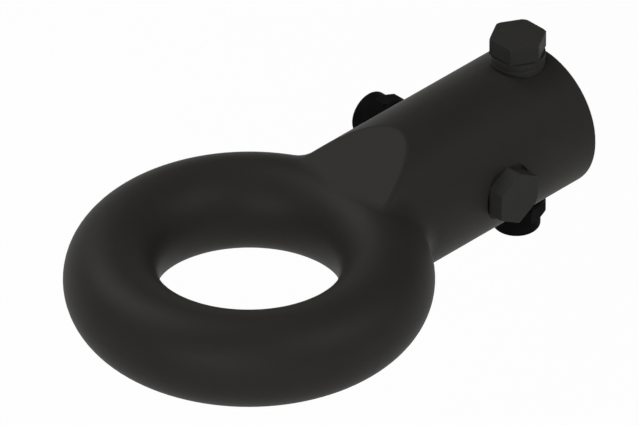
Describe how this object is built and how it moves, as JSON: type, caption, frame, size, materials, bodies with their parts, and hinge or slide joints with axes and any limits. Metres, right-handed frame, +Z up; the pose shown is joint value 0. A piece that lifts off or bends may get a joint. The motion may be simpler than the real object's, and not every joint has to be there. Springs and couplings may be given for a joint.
{
  "type": "nato towing eye",
  "caption": "Forged ring towing eye with a round bolt-on socket: a flat ramped neck joins the ring to a tube held on a drawbar by a vertical and a cross bolt.",
  "frame": {"origin": "centre of the towing ring, on its middle plane", "axes": "+Z up along the ring's axis, +Y from the ring to the socket's mouth, +X to the cross bolt's head"},
  "size_m": [0.1588, 0.2574, 0.1003],
  "materials": {
    "eye_paint": "satin black paint on forged steel",
    "bolt_black": "satin black coated steel bolt",
    "washer_black": "satin black coated steel washer",
    "nut_black": "deep black coated steel, nuts and the washers under them",
    "nylon_black": "matt black nylon"
  },
  "bodies": {
    "root": {"towing_eye": "eye_paint", "vertical_bolt": "bolt_black", "cross_bolt": "bolt_black", "spring_washer": "washer_black", "top_saddle_washer": "washer_black", "bottom_saddle_washer": "nut_black", "vertical_plain_washer": "nut_black", "cross_saddle_washer": "nut_black", "cross_plain_washer": "nut_black", "vertical_lock_nut": "nut_black", "cross_lock_nut": "nut_black", "vertical_nut_insert": "nylon_black", "cross_nut_insert": "nylon_black"}
  },
  "joints": []
}
